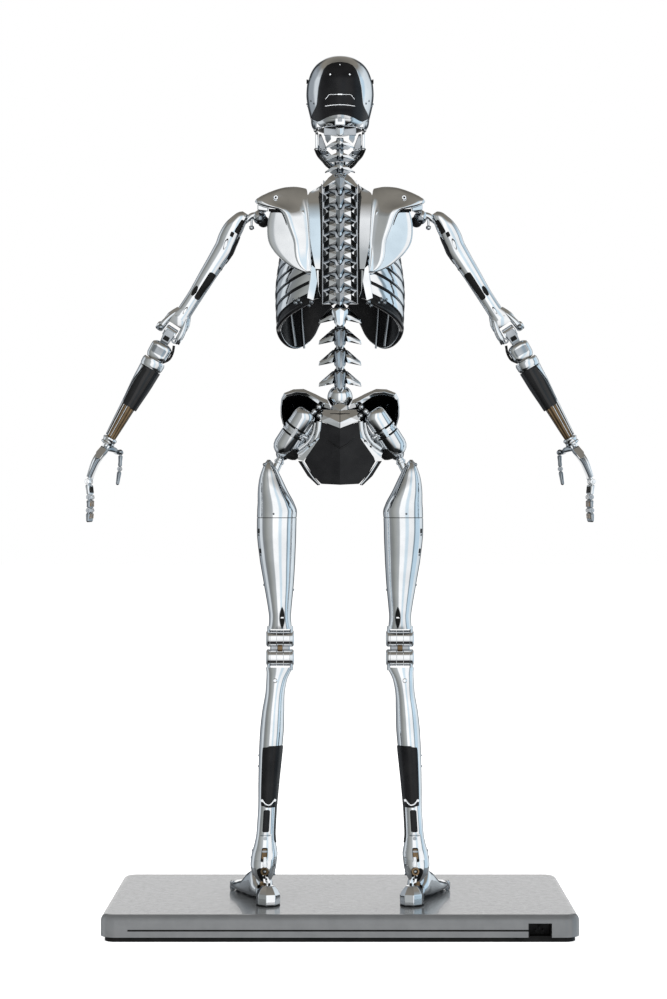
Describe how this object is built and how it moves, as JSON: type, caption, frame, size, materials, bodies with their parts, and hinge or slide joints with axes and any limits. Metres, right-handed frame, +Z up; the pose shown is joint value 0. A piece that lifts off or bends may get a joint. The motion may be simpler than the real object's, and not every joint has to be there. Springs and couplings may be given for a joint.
{
  "type": "humanoid robot skeleton",
  "caption": "Life-size chromed humanoid robot skeleton standing on a flat display base, with jointed legs, spine, neck, jaw, arms and fingers.",
  "frame": {"origin": "bottom centre of the base, on the floor", "axes": "+Z up; the robot faces -Y, so its left side is +X"},
  "size_m": [1.043, 0.53, 1.789],
  "materials": {
    "chrome": "mirror",
    "black_panel": "gloss",
    "bronze": "polished",
    "base_paint": "satin",
    "black_tray": "matte",
    "lens": "gloss"
  },
  "bodies": {
    "base": {"base_cover": "base_paint", "base_tray": "black_tray", "power_unit": "black_tray", "foot_left": "chrome", "foot_right": "chrome"},
    "shin_left": {"shin_left": "chrome", "calf_panel_left": "black_panel"},
    "knee_left": {"knee_link_left": "bronze", "knee_barrels_left": "chrome"},
    "thigh_left": {"thigh_shell_left": "chrome", "thigh_cap_left": "chrome"},
    "shin_right": {"shin_right": "chrome", "calf_panel_right": "black_panel"},
    "knee_right": {"knee_link_right": "bronze", "knee_barrels_right": "chrome"},
    "thigh_right": {"thigh_shell_right": "chrome", "thigh_cap_right": "chrome"},
    "pelvis": {"pelvis_frame": "chrome", "sacrum_shield": "black_panel", "iliac_wings": "chrome", "hip_drives": "chrome"},
    "lumbar_4": {"lumbar_vertebra_4": "chrome"},
    "lumbar_3": {"lumbar_vertebra_3": "chrome"},
    "lumbar_2": {"lumbar_vertebra_2": "chrome"},
    "lumbar_1": {"lumbar_vertebra_1": "chrome"},
    "thorax": {"thoracic_spine": "chrome", "rib_cage": "chrome", "scapula_left": "chrome", "scapula_right": "chrome", "shoulder_girdle": "chrome"},
    "neck_3_body": {"neck_vertebra_3": "chrome"},
    "neck_2_body": {"neck_vertebra_2": "chrome"},
    "neck_1_body": {"neck_vertebra_1": "chrome"},
    "head": {"skull_shell": "chrome", "rear_head_panel": "black_panel", "face_mask": "chrome", "eye_lenses": "lens"},
    "jaw_body": {"jaw": "chrome"},
    "shoulder_left": {"shoulder_yoke_left": "chrome"},
    "upper_arm_left": {"upper_arm_left": "chrome"},
    "elbow_left": {"elbow_yoke_left": "chrome"},
    "forearm_left": {"forearm_shell_left": "chrome", "forearm_cover_left": "black_panel"},
    "hand_left": {"palm_left": "chrome"},
    "fingers_near_left": {"fingers_near_left": "chrome"},
    "fingers_middle_left": {"fingers_middle_left": "chrome"},
    "fingers_tip_left": {"fingers_tip_left": "chrome"},
    "thumb_base_left": {"thumb_base_left": "chrome"},
    "thumb_tip_left": {"thumb_tip_left": "chrome"},
    "shoulder_right": {"shoulder_yoke_right": "chrome"},
    "upper_arm_right": {"upper_arm_right": "chrome"},
    "elbow_right": {"elbow_yoke_right": "chrome"},
    "forearm_right": {"forearm_shell_right": "chrome", "forearm_cover_right": "black_panel"},
    "hand_right": {"palm_right": "chrome"},
    "fingers_near_right": {"fingers_near_right": "chrome"},
    "fingers_middle_right": {"fingers_middle_right": "chrome"},
    "fingers_tip_right": {"fingers_tip_right": "chrome"},
    "thumb_base_right": {"thumb_base_right": "chrome"},
    "thumb_tip_right": {"thumb_tip_right": "chrome"}
  },
  "joints": [
    {"name": "ankle_left", "type": "hinge", "parent": "base", "child": "shin_left", "pos_m": [0.155, 0.112, 0.114], "axis": [1, 0, 0], "range_deg": [-8, 16]},
    {"name": "ankle_right", "type": "hinge", "parent": "base", "child": "shin_right", "pos_m": [-0.155, 0.112, 0.114], "axis": [1, 0, 0], "range_deg": [-8, 16]},
    {"name": "knee_low_left", "type": "hinge", "parent": "shin_left", "child": "knee_left", "pos_m": [0.123, 0.075, 0.551], "axis": [-1, 0, 0], "range_deg": [0, 35]},
    {"name": "knee_low_right", "type": "hinge", "parent": "shin_right", "child": "knee_right", "pos_m": [-0.123, 0.075, 0.551], "axis": [-1, 0, 0], "range_deg": [0, 35]},
    {"name": "knee_high_left", "type": "hinge", "parent": "knee_left", "child": "thigh_left", "pos_m": [0.123, 0.075, 0.59], "axis": [-1, 0, 0], "range_deg": [0, 35]},
    {"name": "knee_high_right", "type": "hinge", "parent": "knee_right", "child": "thigh_right", "pos_m": [-0.123, 0.075, 0.59], "axis": [-1, 0, 0], "range_deg": [0, 35]},
    {"name": "hip_left", "type": "hinge", "parent": "thigh_left", "child": "pelvis", "pos_m": [0.117, 0.075, 0.97], "axis": [1, 0, 0], "range_deg": [-10, 45]},
    {"name": "waist_1", "type": "hinge", "parent": "pelvis", "child": "lumbar_4", "pos_m": [0, 0.1, 1.084], "axis": [1, 0, 0], "range_deg": [-2.5, 6]},
    {"name": "waist_2", "type": "hinge", "parent": "lumbar_4", "child": "lumbar_3", "pos_m": [0, 0.1, 1.138], "axis": [1, 0, 0], "range_deg": [-2.5, 6]},
    {"name": "waist_3", "type": "hinge", "parent": "lumbar_3", "child": "lumbar_2", "pos_m": [0, 0.1, 1.181], "axis": [1, 0, 0], "range_deg": [-2.5, 6]},
    {"name": "waist_4", "type": "hinge", "parent": "lumbar_2", "child": "lumbar_1", "pos_m": [0, 0.1, 1.224], "axis": [1, 0, 0], "range_deg": [-2.5, 6]},
    {"name": "waist_5", "type": "hinge", "parent": "lumbar_1", "child": "thorax", "pos_m": [0, 0.1, 1.267], "axis": [1, 0, 0], "range_deg": [-2.5, 6]},
    {"name": "neck_1", "type": "hinge", "parent": "thorax", "child": "neck_3_body", "pos_m": [0, 0.092, 1.541], "axis": [1, 0, 0], "range_deg": [-7, 9]},
    {"name": "neck_2", "type": "hinge", "parent": "neck_3_body", "child": "neck_2_body", "pos_m": [0, 0.0887, 1.568], "axis": [1, 0, 0], "range_deg": [-7, 9]},
    {"name": "neck_3", "type": "hinge", "parent": "neck_2_body", "child": "neck_1_body", "pos_m": [0, 0.0854, 1.595], "axis": [1, 0, 0], "range_deg": [-7, 9]},
    {"name": "head_turn", "type": "hinge", "parent": "neck_1_body", "child": "head", "pos_m": [0, 0.082, 1.622], "axis": [0, 0, 1], "range_deg": [-45, 45]},
    {"name": "jaw_hinge", "type": "hinge", "parent": "head", "child": "jaw_body", "pos_m": [0, 0.044, 1.64], "axis": [1, 0, 0], "range_deg": [0, 14]},
    {"name": "shoulder_swing_left", "type": "hinge", "parent": "thorax", "child": "shoulder_left", "pos_m": [0.164, 0.088, 1.452], "axis": [-1, 0, 0], "range_deg": [-25, 80]},
    {"name": "arm_lift_left", "type": "hinge", "parent": "shoulder_left", "child": "upper_arm_left", "pos_m": [0.195, 0.088, 1.452], "axis": [0, -1, 0], "range_deg": [-10, 50]},
    {"name": "elbow_left", "type": "hinge", "parent": "upper_arm_left", "child": "elbow_left", "pos_m": [0.348, 0.08, 1.218], "axis": [-0.837, 0, -0.5472], "range_deg": [0, 82]},
    {"name": "forearm_twist_left", "type": "hinge", "parent": "elbow_left", "child": "forearm_left", "pos_m": [0.348, 0.08, 1.218], "axis": [0.4945, -0.015, -0.8691], "range_deg": [-60, 60]},
    {"name": "wrist_left", "type": "hinge", "parent": "forearm_left", "child": "hand_left", "pos_m": [0.48, 0.076, 0.986], "axis": [0, 1, 0], "range_deg": [-35, 40]},
    {"name": "finger_curl_left", "type": "hinge", "parent": "hand_left", "child": "fingers_near_left", "pos_m": [0.516, 0.076, 0.912], "axis": [0, 1, 0], "range_deg": [-8, 60]},
    {"name": "finger_mid_left", "type": "hinge", "parent": "fingers_near_left", "child": "fingers_middle_left", "pos_m": [0.5128, 0.076, 0.88016], "axis": [0, 1, 0], "range_deg": [-8, 60]},
    {"name": "finger_end_left", "type": "hinge", "parent": "fingers_middle_left", "child": "fingers_tip_left", "pos_m": [0.51335, 0.076, 0.85316], "axis": [0, 1, 0], "range_deg": [-6, 42]},
    {"name": "thumb_curl_left", "type": "hinge", "parent": "hand_left", "child": "thumb_base_left", "pos_m": [0.455, 0.028, 0.973], "axis": [0, -1, 0], "range_deg": [-10, 40]},
    {"name": "thumb_end_left", "type": "hinge", "parent": "thumb_base_left", "child": "thumb_tip_left", "pos_m": [0.457, 0.028, 0.939], "axis": [0, -1, 0], "range_deg": [-10, 40]},
    {"name": "shoulder_swing_right", "type": "hinge", "parent": "thorax", "child": "shoulder_right", "pos_m": [-0.164, 0.088, 1.452], "axis": [-1, 0, 0], "range_deg": [-25, 80]},
    {"name": "arm_lift_right", "type": "hinge", "parent": "shoulder_right", "child": "upper_arm_right", "pos_m": [-0.195, 0.088, 1.452], "axis": [0, 1, 0], "range_deg": [-10, 50]},
    {"name": "elbow_right", "type": "hinge", "parent": "upper_arm_right", "child": "elbow_right", "pos_m": [-0.348, 0.08, 1.218], "axis": [-0.837, 0, 0.5472], "range_deg": [0, 82]},
    {"name": "forearm_twist_right", "type": "hinge", "parent": "elbow_right", "child": "forearm_right", "pos_m": [-0.348, 0.08, 1.218], "axis": [0.4945, 0.015, 0.8691], "range_deg": [-60, 60]},
    {"name": "wrist_right", "type": "hinge", "parent": "forearm_right", "child": "hand_right", "pos_m": [-0.48, 0.076, 0.986], "axis": [0, -1, 0], "range_deg": [-35, 40]},
    {"name": "finger_curl_right", "type": "hinge", "parent": "hand_right", "child": "fingers_near_right", "pos_m": [-0.516, 0.076, 0.912], "axis": [0, -1, 0], "range_deg": [-8, 60]},
    {"name": "finger_mid_right", "type": "hinge", "parent": "fingers_near_right", "child": "fingers_middle_right", "pos_m": [-0.5128, 0.076, 0.88016], "axis": [0, -1, 0], "range_deg": [-8, 60]},
    {"name": "finger_end_right", "type": "hinge", "parent": "fingers_middle_right", "child": "fingers_tip_right", "pos_m": [-0.51335, 0.076, 0.85316], "axis": [0, -1, 0], "range_deg": [-6, 42]},
    {"name": "thumb_curl_right", "type": "hinge", "parent": "hand_right", "child": "thumb_base_right", "pos_m": [-0.455, 0.028, 0.973], "axis": [0, 1, 0], "range_deg": [-10, 40]},
    {"name": "thumb_end_right", "type": "hinge", "parent": "thumb_base_right", "child": "thumb_tip_right", "pos_m": [-0.457, 0.028, 0.939], "axis": [0, 1, 0], "range_deg": [-10, 40]}
  ],
  "couplings": [
    {"joint": "finger_mid_left", "follows": "finger_curl_left", "ratio": 1},
    {"joint": "finger_end_left", "follows": "finger_curl_left", "ratio": 0.7},
    {"joint": "thumb_end_left", "follows": "thumb_curl_left", "ratio": 1},
    {"joint": "finger_mid_right", "follows": "finger_curl_right", "ratio": 1},
    {"joint": "finger_end_right", "follows": "finger_curl_right", "ratio": 0.7},
    {"joint": "thumb_end_right", "follows": "thumb_curl_right", "ratio": 1},
    {"joint": "ankle_right", "follows": "ankle_left", "ratio": 1},
    {"joint": "knee_high_left", "follows": "knee_low_left", "ratio": 1},
    {"joint": "knee_low_right", "follows": "knee_low_left", "ratio": 1},
    {"joint": "knee_high_right", "follows": "knee_low_left", "ratio": 1},
    {"joint": "waist_2", "follows": "waist_1", "ratio": 1},
    {"joint": "waist_3", "follows": "waist_1", "ratio": 1},
    {"joint": "waist_4", "follows": "waist_1", "ratio": 1},
    {"joint": "waist_5", "follows": "waist_1", "ratio": 1},
    {"joint": "neck_2", "follows": "neck_1", "ratio": 1},
    {"joint": "neck_3", "follows": "neck_1", "ratio": 1}
  ]
}
